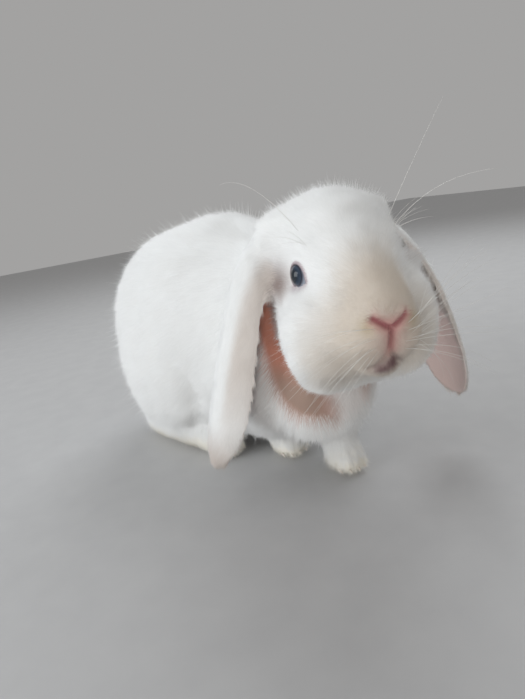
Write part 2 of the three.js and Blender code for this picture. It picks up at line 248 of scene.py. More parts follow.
def smoothSkin(skin, tree, owners):
    spread = Spread(skin.data)
    rough = pointsOf(skin.data)
    kinds = np.array([kindOf(name) for name in nearestNames(rough, tree, owners)])
    weights = spread.smooth(np.array([skinSettings["smoothing"][kind] for kind in kinds]), 10)
    points = spread.smooth(rough, skinSettings["rounds"], weights)
    setPoints(skin.data, points)
    normals = normalsOf(skin.data)
    lost = spread.smooth(dot(rough - points, normals)[:, 0], 24)  # smoothing draws it in, and this gives it back
    depth = spread.smooth(np.array([riseOf(kind) for kind in kinds]), 14)
    points = points + normals * (lost - depth - skinSettings["overlap"])[:, None]
    setPoints(skin.data, spread.smooth(points, 4, 0.5 * weights))


def refine(mesh, chosen):  # splits the edges whose two ends are chosen
    work = bmesh.new()
    work.from_mesh(mesh)
    work.verts.ensure_lookup_table()
    edges = [edge for edge in work.edges if chosen[edge.verts[0].index] and chosen[edge.verts[1].index]]
    bmesh.ops.subdivide_edges(work, edges=edges, cuts=1, use_grid_fill=True)
    bmesh.ops.triangulate(work, faces=[face for face in work.faces if len(face.verts) > 4])
    work.to_mesh(mesh)
    work.free()


eyeSettings = {
    "radius": 9.5,  # mm, all that follows too
    "bulge": 0.9,  # how far the cornea stands out of the globe
    "gaze": (0.955, -0.26, 0.12),  # of the left eye, in the head's frame
    "opening": [(0, 48), (45, 43), (90, 41), (135, 41), (180, 43), (225, 46), (270, 53), (308, 62), (335, 56), (360, 48)],
    "lid": 1.0,
}


def eyeAxes(side):  # centre, gaze, and the ways to the front and up across it
    centre = toHead(np.array([middleOf(f"eye_{side}")]))[0]
    gaze = unit(np.array(eyeSettings["gaze"]) * (sides[side], 1, 1))
    front = np.array([0, -1, 0]) + gaze * gaze[1]
    front = unit(front)
    up = np.cross(front, gaze)
    return centre, gaze, front, up if up[2] > 0 else -up


def openingAt(angles):  # half the width of the eye's opening, in degrees, each way from the gaze
    places, widths = zip(*eyeSettings["opening"])
    fine = np.interp(np.arange(360), places, widths)
    kernel = np.hanning(31) / np.hanning(31).sum()
    fine = np.convolve(np.concatenate([fine[-15:], fine, fine[:15]]), kernel, "valid")
    return np.interp(np.degrees(angles) % 360, np.arange(361), np.append(fine, fine[0]))


def aroundEye(local, side):  # distance from the eye's centre, degrees from its gaze, degrees beyond the opening
    centre, gaze, front, up = eyeAxes(side)
    offset = local - centre
    away = np.linalg.norm(offset, axis=1)
    rays = unit(offset)
    tilt = np.degrees(np.arccos(np.clip(rays @ gaze, -1, 1)))
    return away, tilt, tilt - openingAt(np.arctan2(rays @ up, rays @ front))


points, faces, owners = fleshMesh([*fleshNodes, "eye_right", "eye_left"])
fleshTree = BVHTree.FromPolygons(points, faces)
skin = remeshed(newObject("skin", points, faces), skinSettings["voxel"])
smoothSkin(skin, fleshTree, owners)
print("skin smoothed:", len(skin.data.vertices), "points")
for reach in (17, 12):
    local = toHead(pointsOf(skin.data))
    muzzle = np.linalg.norm((local - (0, -57, -21)) / (1, 1, 1.35), axis=1) < reach
    for side in sides:
        muzzle |= aroundEye(local, side)[0] < reach * 0.6 + 5.5
    refine(skin.data, muzzle)
print("skin refined:", len(skin.data.vertices), "points")

# ---- the face, in the head's frame ----

faceSettings = {  # lines on the left side or the middle, mm
    "nostril": [(2.0, -59, -14.6), (4.8, -59, -12.4), (7.6, -57.5, -10.4), (10.4, -55.5, -8.8)],
    "cleft": [(0, -60, -15.2), (0, -60, -22), (0, -60, -29)],
    "lip": [(0, -60, -29), (3, -58, -33), (6.5, -56, -37.5), (10, -51, -40.5)],
    "nostrilDepth": 2.2, "nostrilWidth": 1.35,
    "cleftDepth": 2.3, "cleftWidth": 1.1,
    "lipDepth": 3.0, "lipWidth": 1.6,
}


def mirrored(line):
    return [(-x, y, z) for x, y, z in line]


def faceLines(name):
    line = faceSettings[name]
    return [line, mirrored(line)] if name != "cleft" else [line]


def flattened(local):  # distances on the face are measured as seen from the front
    return local * (1, 0.35, 1)


def lineBump(local, name, reach):
    total = np.zeros(len(local))
    for line in faceLines(name):
        away, share = along(flattened(np.array(line, float)), flattened(local))
        fade = 1 - smoothStep(0.75, 1, share) if name != "cleft" else 1
        total = np.maximum(total, bump(away, reach) * fade)
    return total


def ballBump(local, at, size):
    return bump(np.linalg.norm((local - at) / size, axis=1), 1)


def carveFace(skin):
    points = pointsOf(skin.data)
    local = toHead(points)
    normals = normalsOf(skin.data) @ headTurn
    front = smoothStep(-36, -44, local[:, 1]) * (np.abs(local[:, 0]) < 30)
    s = faceSettings
    push = -s["nostrilDepth"] * lineBump(local, "nostril", s["nostrilWidth"])
    push -= s["cleftDepth"] * lineBump(local, "cleft", s["cleftWidth"])
    push -= 0.8 * lineBump(local, "cleft", 3.2)
    push -= s["lipDepth"] * lineBump(local, "lip", s["lipWidth"])
    for side in sides.values():
        push += 0.9 * ballBump(local, (5.5 * side, -58, -8.2), (5, 8, 2.4))  # wing over the nostril
        push += 0.9 * ballBump(local, (6.5 * side, -56, -17), (5.5, 9, 4.5))  # whisker pads
        push += 1.3 * ballBump(local, (7.5 * side, -54, -26), (6, 10, 6))
    push += 1.1 * ballBump(local, (0, -58, -39), (4.5, 10, 3))  # lower lip
    push += 0.7 * ballBump(local, (0, -59, -13.2), (2.2, 8, 2))  # tip of the nose
    push *= front
    for side in sides.values():
        push -= 2.4 * ballBump(local, (38 * side, 2, -48), (16, 18, 26))  # hind edge of the cheek
    return local + normals * push[:, None]


def setEyes(local):  # draws the skin down onto each eye, and behind it inside the opening
    for side in sides:
        centre = eyeAxes(side)[0]
        away, tilt, beyond = aroundEye(local, side)
        rays = unit(local - centre)
        near = (tilt < 100) & (away < 22)
        lid = eyeSettings["radius"] + eyeSettings["lid"] + 0.045 * np.maximum(beyond, 0)
        share = (1 - smoothStep(4, 34, beyond)) * (1 - smoothStep(13, 20, away))
        radius = away + share * (lid - away)
        radius = np.where((beyond < 0) & (away < 15), eyeSettings["radius"] - 1.6, radius)
        local = np.where(near[:, None], centre + rays * radius[:, None], local)
    return local


local = setEyes(carveFace(skin))
setPoints(skin.data, fromHead(local))
print("face carved")

# ---- haunches and toes ----

limbSettings = {
    "haunch": {"back": 8, "up": 68, "length": 54, "height": 52, "depth": 3.2, "reach": 7},  # mm from the foot's toes
    "toes": {"depth": 1.5, "reach": 1.1, "from": -4, "to": 15, "above": 2.5},
}


def footAxes(foot):  # the claws of a foot, in a row, and the ways along the row and ahead
    stem = {"hind_foot": "hind_claw", "forepaw": "front_claw"}[kindOf(foot)]
    side = foot.rsplit("_", 1)[1]
    claws = np.array([middleOf(f"{stem}_{side}_{n}") for n in range(1, 5)])
    row = unit((claws[3] - claws[0]) * (1, 1, 0))
    row = row if row[0] > 0 else -row
    ahead = np.array([row[1], -row[0], 0])
    return claws, row, ahead


feet = [f"{kind}_{side}" for kind in ("hind_foot", "forepaw") for side in sides]


def limbPush(points, names):
    push = np.zeros(len(points))
    toes, haunch = limbSettings["toes"], limbSettings["haunch"]
    for foot in feet:
        claws, row, ahead = footAxes(foot)
        offset = (points - claws.mean(0)) / millimetre
        forward, across = offset @ ahead, offset @ row
        window = smoothStep(-toes["to"], -toes["to"] + 6, forward) * (points[:, 2] > toes["above"] * millimetre)
        onFoot = names == foot
        for n in range(3):
            gap = ((claws[n] + claws[n + 1]) / 2 - claws.mean(0)) @ row / millimetre
            push -= toes["depth"] * bump(np.abs(across - gap), toes["reach"]) * window * onFoot
    for side in sides:
        claws, row, ahead = footAxes(f"hind_foot_{side}")
        offset = (points - claws.mean(0)) / millimetre
        along = (-offset @ ahead - haunch["back"]) / haunch["length"] - 1
        up = (points[:, 2] / millimetre - haunch["up"]) / haunch["height"]
        outer = smoothStep(0, 12, (offset @ row) * sides[side])
        ring = np.hypot(along, up)
        low = smoothStep(0.75, 0.2, up) * smoothStep(0.6, -0.1, along)
        body = np.isin(names, ["trunk", f"thigh_{side}"])
        push -= haunch["depth"] * bump(np.abs(ring - 1) * haunch["length"], haunch["reach"]) * low * outer * body
    return push


points = pointsOf(skin.data)
names = nearestNames(points, fleshTree, owners)
kinds = np.array([kindOf(name) for name in names])
points = points + normalsOf(skin.data) * (limbPush(points, names) * millimetre)[:, None]
points[:, 2] = np.maximum(points[:, 2], 0.5 * millimetre)
setPoints(skin.data, points)
skin.data.polygons.foreach_set("use_smooth", np.ones(len(skin.data.polygons), bool))
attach(skin, "root")
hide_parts(*fleshNodes)
spread = Spread(skin.data)
normals = normalsOf(skin.data)
local = toHead(points)
print("skin made:", len(points), "points")

# ---- markings and painted shade: colours worked out from where a point is ----

colourSettings = {  # as seen on a screen, 0 to 255
    # face is the head's cream tone, partly darkened as painted warm shade
    "white": (246, 247, 247), "cream": (249, 245, 235), "face": (214, 202, 187), "nose": (208, 160, 152),
    "muzzle": (216, 190, 180), "nostril": (172, 108, 112), "lip": (112, 78, 84), "stain": (200, 186, 152),
    # after lid: painted shade for the crease behind the eye, the ear's front margin and tip, and the chin's underside
    "lid": (190, 176, 182), "hollow": (142, 122, 116), "earFront": (222, 212, 204), "earTip": (196, 180, 168), "chin": (206, 197, 187),
    # the throat colours are painted warm shade in the fold under the cheeks
    "innerEar": (238, 208, 202), "throat": (222, 154, 132), "throatDeep": (176, 150, 136),
}


def paint(name):
    shade = np.array(colourSettings[name]) / 255
    return np.where(shade < 0.04045, shade / 12.92, ((shade + 0.055) / 1.055) ** 2.4)


def over(colours, name, share):
    return colours + np.clip(share, 0, 1)[:, None] * (paint(name) - colours)


earLines = {  # in the head's frame, mm
    "ear_right": [(-22, 31, 8), (-36, 34, 13), (-48, 34, -2), (-60, 33, -34), (-75, 33, -84), (-91, 34, -136)],
    "ear_left": [(22, 31, 8), (35, 35, 12), (48, 36, -3), (64, 36, -31), (80, 36, -74), (93, 33, -123)],
}
earFacing = {"ear_right": (-1, 14), "ear_left": (1, -18)}  # side, and degrees that the outer face turns forward


def earFlow(points, name):
    line = fromHead(earLines[name])
    middles, steps = (line[1:] + line[:-1]) / 2, unit(line[1:] - line[:-1])
    near = 1 / (np.linalg.norm(points[:, None] - middles, axis=2) ** 4 + 1e-12)
    return unit((near[:, :, None] * steps).sum(1))


def innerEar(name):  # 1 on the hollow face of an ear, 0 at its margin and on its outer face
    side, turn = earFacing[name]
    outward = np.array([math.cos(math.radians(turn)) * side, -math.sin(math.radians(turn)), 0]) @ headTurn.T
    facing = -(normals @ outward)
    _, share = along(earLines[name], local)
    return (names == name) * smoothStep(0.25, 0.75, facing) * smoothStep(0.2, 0.34, share)


def markingsAndPaintedShade():
    colours = np.tile(paint("white"), (len(points), 1))
    feetHere = np.isin(kinds, ["hind_foot", "forepaw"])
    colours = over(colours, "cream", 0.8 * feetHere * smoothStep(30, 4, points[:, 2] / millimetre))
    onHead = kinds == "head"
    # the front of the head creamier and darker: partly its own cream tone, partly painted warm shade
    front = onHead * smoothStep(-20, -50, local[:, 1])
    colours = over(colours, "face", 0.85 * front)
    # painted shade on the downward-facing underside of the jaw and chin
    under = onHead * smoothStep(0.1, -0.6, normals[:, 2]) * smoothStep(-26, -44, local[:, 1])
    colours = over(colours, "chin", 0.7 * under)
    colours = over(colours, "muzzle", onHead * 0.75 * ballBump(local, (0, -58, -22), (9, 12, 12)))
    for side in sides.values():
        colours = over(colours, "stain", onHead * 0.75 * ballBump(local, (10.5 * side, -54, -14), (3.6, 8, 4)))
    colours = over(colours, "nose", onHead * 0.95 * ballBump(local, (0, -58, -14), (5, 10, 3.8)))
    colours = over(colours, "nose", onHead * 0.9 * lineBump(local, "cleft", 3.0))
    colours = over(colours, "nose", onHead * 0.9 * lineBump(local, "nostril", 3.4))
    colours = over(colours, "lip", onHead * 1.2 * ballBump(local, (2.2, -58, -35.6), (4.4, 11, 3.2)))
    colours = over(colours, "lip", onHead * 1.1 * ballBump(local, (-3.0, -58, -38.8), (4.6, 11, 2.8)))
    colours = over(colours, "lip", onHead * 0.8 * lineBump(local, "lip", 1.5))
    colours = over(colours, "nostril", onHead * 1.2 * lineBump(local, "cleft", 1.5))
    colours = over(colours, "nostril", onHead * 1.1 * lineBump(local, "nostril", 1.5))
    for side in sides:
        away, tilt, beyond = aroundEye(local, side)
        near = onHead * smoothStep(13, 11, away) * (tilt < 110)
        colours = over(colours, "lid", near * smoothStep(10, 3, beyond))
        # painted shade in the crease behind each eye, between the cheek and the ear
        hollow = np.maximum(0.95 * ballBump(local, (36 * sides[side], 14, -7), (8.5, 10, 11)),
                            0.9 * ballBump(local, (39 * sides[side], 25, -21), (6, 10, 12)))
        colours = over(colours, "hollow", hollow)
    for name in earLines:
        low = smoothStep(-20, -70, local[:, 2])
        colours = over(colours, "innerEar", (0.1 + 0.6 * low) * innerEar(name))
        # painted shade darkening the tip of each ear, less on its inner face
        share = along(earLines[name], local)[1]
        tip = (names == name) * smoothStep(0.84, 0.98, share) * (1 - 0.8 * innerEar(name))
        colours = over(colours, "earTip", 0.7 * tip)
        # painted shade along the front margin of each ear
        edge = (names == name) * smoothStep(26, 19, local[:, 1]) * smoothStep(-125, -50, local[:, 2])
        colours = over(colours, "earFront", 0.7 * edge)
    # painted warm shade in the fold under the cheeks, browner lower down
    colours = over(colours, "throat", throat)
    return over(colours, "throatDeep", throat * smoothStep(-52, -78, local[:, 2]))


def throatShade():  # painted warm shade and floor bounce in the thinly haired fold between the cheeks and the chest
    cheeks, faces, _ = fleshMesh(["head"])
    tree = BVHTree.FromPolygons(cheeks, faces)
    place = (np.isin(kinds, ["neck", "trunk"])) & (local[:, 1] < 48) & (local[:, 1] > -48) & (local[:, 2] > -110)
    shade = np.zeros(len(points))
    for n in np.flatnonzero(place):
        shade[n] = tree.find_nearest(Vector(points[n]))[3] / millimetre
    fade = smoothStep(46, 36, local[:, 1]) * smoothStep(0, -14, local[:, 2]) * (0.06 + 0.94 * smoothStep(6, 26, np.abs(local[:, 0])))
    return np.where(place, smoothStep(24, 20, shade), 0) * fade


# where warm shade is painted in the fold under the cheeks
throat = spread.smooth(throatShade(), 3)
colours = spread.smooth(markingsAndPaintedShade(), 1)
print("markings ready")

# ---- shader writing ----


class Wire:  # a socket that takes arithmetic
    def __init__(self, tree, socket):
        self.tree = tree
        self.socket = socket

    def math(self, operation, *others):
        node = self.tree.nodes.new("ShaderNodeMath")
        node.operation = operation
        for slot, value in zip(node.inputs, (self, *others)):
            plug(self.tree, slot, value)
        return Wire(self.tree, node.outputs[0])

    def __add__(self, other): return self.math("ADD", other)
    def __radd__(self, other): return self.math("ADD", other)
    def __sub__(self, other): return self.math("SUBTRACT", other)
    def __rsub__(self, other): return (self * -1).math("ADD", other)
    def __mul__(self, other): return self.math("MULTIPLY", other)
    def __rmul__(self, other): return self.math("MULTIPLY", other)
    def __truediv__(self, other): return self.math("DIVIDE", other)
    def __pow__(self, other): return self.math("POWER", other)


def plug(tree, slot, value):
    if isinstance(value, Wire):
        tree.links.new(value.socket, slot)
    elif isinstance(value, (tuple, list, np.ndarray)) and slot.type == "RGBA":
        slot.default_value = (*value[:3], 1)
    else:
        slot.default_value = value


class Finish:  # one material and its nodes
    def __init__(self, name):
        self.material = bpy.data.materials.new(name)
        self.material.use_nodes = True
        self.tree = self.material.node_tree
        self.shader = self.tree.nodes["Principled BSDF"]

    def node(self, kind, settings=None, output=0, **values):
        made = self.tree.nodes.new(kind)
        for key, value in (settings or {}).items():
            if key == "stops":
                elements = made.color_ramp.elements
                while len(elements) < len(value):
                    elements.new(0.5)
                for element, (place, colour) in zip(elements, value):
                    element.position = place
                    element.color = (*colour, 1)
            else:
                setattr(made, key, value)
        for key, value in values.items():
            plug(self.tree, made.inputs[int(key[1:]) if key[1:].isdigit() else key.replace("_", " ")], value)
        return Wire(self.tree, made.outputs[output])

    def blend(self, share, low, high):
        return self.node("ShaderNodeMix", {"data_type": "RGBA"}, 2, i0=share, i6=low, i7=high)

    def place(self):
        return self.node("ShaderNodeTexCoord", None, 3)

    def noise(self, scale, detail=3.0, **values):
        return self.node("ShaderNodeTexNoise", None, 0, Vector=self.place(), Scale=scale, Detail=detail, **values)

    def attribute(self, name, output=0):
        return self.node("ShaderNodeAttribute", {"attribute_name": name}, output)

    def bumped(self, height, strength, distance):
        normal = self.node("ShaderNodeBump", None, 0, Height=height, Strength=strength, Distance=distance)
        return self.set(Normal=normal)

    def set(self, **values):
        for key, value in values.items():
            plug(self.tree, self.shader.inputs[key.replace("_", " ")], value)
        return self

    def wear(self, piece):
        piece.data.materials.clear()
        piece.data.materials.append(self.material)


def coatFinish():
    finish = Finish("coat")
    mottle = finish.noise(70.0, 4.0)
    finish.set(Base_Color=finish.blend(mottle * 0.09, finish.attribute("tint"), (0.70, 0.67, 0.62)))
    finish.set(Roughness=0.62 + 0.2 * finish.noise(300.0), Specular_IOR_Level=0.25)
    return finish.set(Sheen_Weight=0.2, Sheen_Roughness=0.45)


def skinFinish():
    finish = Finish("skin")
    nap = finish.noise(1500.0, 2.0)
    finish.set(Base_Color=finish.blend(nap * 0.1, finish.attribute("tint"), (0.62, 0.55, 0.5)))
    finish.set(Roughness=0.55 + 0.25 * nap, Specular_IOR_Level=0.3)
    return finish.bumped(nap, 0.35, 0.0004)


def addTint(mesh, shades):
    tint = mesh.color_attributes.new("tint", "FLOAT_COLOR", "POINT")
    tint.data.foreach_set("color", np.column_stack([shades, np.ones(len(shades))]).astype(np.float32).ravel())


# ---- eyes and lids ----


def eyeMesh(side):
    centre, gaze, front, up = eyeAxes(side)
    rings, spokes = 48, 72
    tilts = np.radians(np.linspace(0, 150, rings + 1))[1:]
    turns = np.linspace(0, 2 * math.pi, spokes, endpoint=False)
    radius = eyeSettings["radius"] + eyeSettings["bulge"] * (1 - smoothStep(0, 50, np.degrees(tilts)))
    sideways = np.cos(turns)[:, None] * front + np.sin(turns)[:, None] * up
    shells = radius[:, None, None] * (np.cos(tilts)[:, None, None] * gaze + np.sin(tilts)[:, None, None] * sideways)
    poles = np.array([gaze * (eyeSettings["radius"] + eyeSettings["bulge"]), -gaze * eyeSettings["radius"] * 0.9])
    points = fromHead(centre + np.concatenate([shells.reshape(-1, 3), poles]))
    faces = []
    for j in range(spokes):
        k = (j + 1) % spokes
        faces.append((rings * spokes, j, k))
        faces += [(i * spokes + j, (i + 1) * spokes + j, (i + 1) * spokes + k, i * spokes + k) for i in range(rings - 1)]
        faces.append((rings * spokes + 1, (rings - 1) * spokes + k, (rings - 1) * spokes + j))
    eye = newObject(f"eyeball_{side}", points, faces)
    reach = np.concatenate([np.repeat(np.degrees(tilts), spokes), [0, 180]]) / 90
    eye.data.attributes.new("reach", "FLOAT", "POINT").data.foreach_set("value", reach.astype(np.float32))
    tidyNormals(eye)
    return eye


def tidyNormals(piece):
    work = bmesh.new()
    work.from_mesh(piece.data)
    bmesh.ops.recalc_face_normals(work, faces=work.faces)
    work.to_mesh(piece.data)
    work.free()
    piece.data.polygons.foreach_set("use_smooth", np.ones(len(piece.data.polygons), bool))


def eyeFinish():
    finish = Finish("eye")
    reach = finish.attribute("reach", 2)
    fleck = finish.noise(900.0, 5.0) - 0.5
    rings = [(0.0, (0.004, 0.008, 0.014)), (0.2, (0.007, 0.014, 0.026)), (0.27, (0.018, 0.034, 0.06)),
             (0.35, (0.04, 0.058, 0.095)), (0.405, (0.028, 0.03, 0.045)), (0.435, (0.12, 0.135, 0.175)),
             (0.5, (0.36, 0.4, 0.47)), (0.62, (0.4, 0.4, 0.44)), (0.72, (0.3, 0.22, 0.24))]
    colour = finish.node("ShaderNodeValToRGB", {"stops": rings}, 0, Fac=reach + fleck * 0.03)
    finish.set(Base_Color=colour, Roughness=0.2, Specular_IOR_Level=0.2)
    return finish.set(Coat_Weight=0.6, Coat_Roughness=0.02)


def lidMesh(side):  # a soft rim round the opening, lying on the globe
    centre, gaze, front, up = eyeAxes(side)
    turns = np.linspace(0, 2 * math.pi, 120, endpoint=False)
    tilts = np.radians(openingAt(turns) + 1.5)
    sideways = np.cos(turns)[:, None] * front + np.sin(turns)[:, None] * up
    rays = np.cos(tilts)[:, None] * gaze + np.sin(tilts)[:, None] * sideways
    inward = unit(gaze - rays * dot(rays, gaze))
    angles = np.linspace(0, 2 * math.pi, 10, endpoint=False)
    middle = rays * (eyeSettings["radius"] + 0.45)
    section = 0.75 * np.cos(angles)[None, :, None] * inward[:, None] + 0.6 * np.sin(angles)[None, :, None] * rays[:, None]
    points = fromHead(centre + (middle[:, None] + section).reshape(-1, 3))
    faces = [(i * 10 + j, i * 10 + (j + 1) % 10, (i + 1) % 120 * 10 + (j + 1) % 10, (i + 1) % 120 * 10 + j)
             for i in range(120) for j in range(10)]
    lid = newObject(f"lid_{side}", points, faces)
    tidyNormals(lid)
    shades = np.tile(np.where((np.cos(angles) > 0.5)[:, None], paint("lid") * 0.55, paint("lid")), (120, 1))
    addTint(lid.data, shades)
    return lid


coatLook, skinLook, eyeLook = coatFinish(), skinFinish(), eyeFinish()
addTint(skin.data, colours)
skinLook.wear(skin)
for side in sides:
    eye = eyeMesh(side)
    eyeLook.wear(eye)
    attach(eye, "root")
    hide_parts(f"eye_{side}")
    lid = lidMesh(side)
    skinLook.wear(lid)
    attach(lid, "root")
print("eyes made")

# ---- the lie of the coat ----

bodyTurns = [(-0.13, -17), (-0.06, -13), (0.0, 0), (0.06, 15), (0.2, 15)]  # heading along the spine, by Y


def bodyBack(points):
    angles = np.radians(np.interp(points[:, 1], *zip(*bodyTurns)))
    return np.stack([-np.sin(angles), np.cos(angles), np.zeros(len(points))], 1)


def flowOf(points):
    back = bodyBack(points)
    down = np.array([0, 0, -1.0])
    isKind = {kind: (kinds == kind)[:, None] for kind in coatSettings["kinds"]}
    chest = smoothStep(-50, -95, points[:, 1] / millimetre)[:, None]  # hangs straight down on the chest
    flow = (1 - 0.85 * chest) * back + (0.55 + 0.5 * chest) * down
    flow = np.where(isKind["foreleg"], 0.35 * back + down, flow)
    flow = np.where(isKind["tail"], 0.3 * back - down, flow)
    for foot in feet:
        ahead = footAxes(foot)[2]
        flow = np.where((names == foot)[:, None], ahead + 0.35 * down, flow)
    fromNose = unit(local - (0, -66, -14))
    onHead = (fromNose + (0, 0.35, -0.22)) @ headTurn.T
    flow = np.where(isKind["head"], onHead, flow)
    ahead = np.array([0, -1.0, 0]) @ headTurn.T
    for name in earLines:
        upper = coatSettings["earFluff"][name] * smoothStep(-62, -20, local[:, 2])[:, None]
        flow = np.where((names == name)[:, None], earFlow(points, name) + 0.8 * upper * ahead, flow)
    return unit(flow)


def ruffled(scale):  # gentle disorder in locks of this many to a metre
    return np.array([noise.noise_vector(Vector(point) * scale) for point in points])


def fluffiness():  # 1 where long soft hair fills the folds between brow, cheek and ear
    total = 0.9 * ballBump(local, (19, -22, 6), (10, 15, 16))
    total = np.maximum(total, ballBump(local, (40, 6, -6), (10, 11, 13)))
    for name, share in coatSettings["earFluff"].items():
        total = np.maximum(total, share * innerEar(name) * smoothStep(-62, -20, local[:, 2]))
    return total


flow = flowOf(points)
for _ in range(25):
    flow = spread.mean(flow)
    flow = unit(flow - normals * dot(flow, normals))
ruffle = ruffled(85) + 0.7 * ruffled(210)
flow = unit(flow + coatSettings["ruffle"]["lie"] * (ruffle - normals * dot(ruffle, normals)))
fluff = fluffiness()
traits = spread.smooth(np.array([coatSettings["kinds"][kind] for kind in kinds], float), 16)


def trimTraits():  # shorter round the nose, mouth and eyes and inside the ears, and bare where there is no hair
    onHead = kinds == "head"
    short = onHead * smoothStep(-22, -56, local[:, 1]) * 0.62
    bare = np.zeros(len(points))
    for side in sides:
        away, tilt, beyond = aroundEye(local, side)
        near = onHead * (away < 24) * (tilt < 115)
        short = np.maximum(short, near * smoothStep(45, 6, beyond) * 0.75)
        bare = np.maximum(bare, near * (beyond < 6) * (away < 11.4))
    bare = np.maximum(bare, onHead * smoothStep(0.25, 0.6, lineBump(local, "nostril", 1.9)))
    bare = np.maximum(bare, onHead * smoothStep(0.3, 0.7, lineBump(local, "cleft", 1.4)))
    bare = np.maximum(bare, onHead * smoothStep(0.3, 0.7, lineBump(local, "lip", 1.8)))
    bare = np.maximum(bare, onHead * smoothStep(0.3, 0.8, ballBump(local, (0, -59, -14.2), (2.6, 9, 2.2))))
    inner = sum(innerEar(name) for name in earLines) * (1 - fluff)
    short = np.maximum(short, 0.5 * inner)
    short = np.maximum(short, 0.82 * throat)
    bare = np.maximum(bare, 0.3 * inner)
    bare = np.maximum(bare, 0.4 * throat)
    under = smoothStep(2.2, 1.0, points[:, 2] / millimetre) * smoothStep(-0.4, -0.8, normals[:, 2])
    bare = np.maximum(bare, 0.75 * under)
    return short, bare


short, bare = trimTraits()
traits[:, 0] *= 1 - short
traits[:, 1] *= 1 - 0.3 * short
traits[:, 3] *= 1 - bare
traits[:, 0] *= 1 + coatSettings["fluff"]["length"] * fluff
traits[:, 2] += coatSettings["fluff"]["lift"] * fluff
traits[:, 3] *= 1 + coatSettings["fluff"]["density"] * fluff
print("lie of the coat ready")

# ---- coat pieces ----


def unwrap(target):
    bpy.context.view_layer.objects.active = target
    target.select_set(True)
    bpy.ops.object.mode_set(mode="EDIT")
    bpy.ops.mesh.select_all(action="SELECT")
    bpy.ops.uv.smart_project(angle_limit=math.radians(66), island_margin=0.002)
    bpy.ops.object.mode_set(mode="OBJECT")
    target.data.uv_layers[0].name = "OFBake"
    spots = np.empty(len(target.data.loops) * 2, np.float32)
    target.data.uv_layers["OFBake"].data.foreach_get("uv", spots)
    return spots.reshape(-1, 2)


class Roots:  # places on the skin, so many to a square mm, and what the skin says at each
    def __init__(self, mesh, density):
        mesh.calc_loop_triangles()
        corners, loops = (np.empty(len(mesh.loop_triangles) * 3, np.int32) for _ in range(2))
        mesh.loop_triangles.foreach_get("vertices", corners)
        mesh.loop_triangles.foreach_get("loops", loops)
        corners = corners.reshape(-1, 3)
        a, b, c = points[corners].transpose(1, 0, 2)
        areas = np.linalg.norm(np.cross(b - a, c - a), axis=1) / 2 / millimetre ** 2
        counts = np.floor(areas * density[corners].mean(1) + seeded.random(len(corners))).astype(int)
        chosen = np.repeat(np.arange(len(corners)), counts)
        shares = seeded.random((len(chosen), 2))
        shares = np.where(shares.sum(1, keepdims=True) > 1, 1 - shares, shares)
        self.shares = np.column_stack([1 - shares.sum(1), shares])
        self.corners = corners[chosen]
        self.loops = loops.reshape(-1, 3)[chosen]
        self.count = len(chosen)

    def take(self, values):
        picked = values[self.corners]
        return (picked * (self.shares if values.ndim == 1 else self.shares[:, :, None])).sum(1)

    def spots(self, skinMap):
        return (skinMap[self.loops] * self.shares[:, :, None]).sum(1)


def tuftsFrom(roots, longer=1.0, finer=1.0, lifted=1.0):
    place, normal = roots.take(points), unit(roots.take(normals))
    lie = roots.take(flow)
    lie = unit(lie + np.cross(normal, lie) * seeded.normal(0, coatSettings["turn"], roots.count)[:, None])
    lie = unit(lie - normal * dot(lie, normal))
    trait = roots.take(traits)
    patch = 1 + 0.12 * np.sin(place @ (410, 290, 350)) * np.sin(place @ (-230, 370, 300))
    length = trait[:, 0] * millimetre * longer * patch * np.clip(
        seeded.normal(1, coatSettings["spread"], roots.count), 0.5, 1.6)
    width = trait[:, 1] * millimetre * finer * seeded.uniform(0.75, 1.25, roots.count)
    lift = np.radians(np.minimum(trait[:, 2] * lifted * np.clip(seeded.normal(1, 0.24, roots.count), 0.3, 1.8), 80))
    shade = roots.take(colours) * seeded.uniform(0.95, 1.02, roots.count)[:, None]
    light = unit(normal + coatSettings["ruffle"]["light"] * roots.take(ruffle))
    return dict(place=place, normal=normal, light=light, lie=lie, length=length, width=width, lift=lift, shade=shade,
                spot=roots.spots(skinMap), kind=kinds[roots.corners[:, 0]])


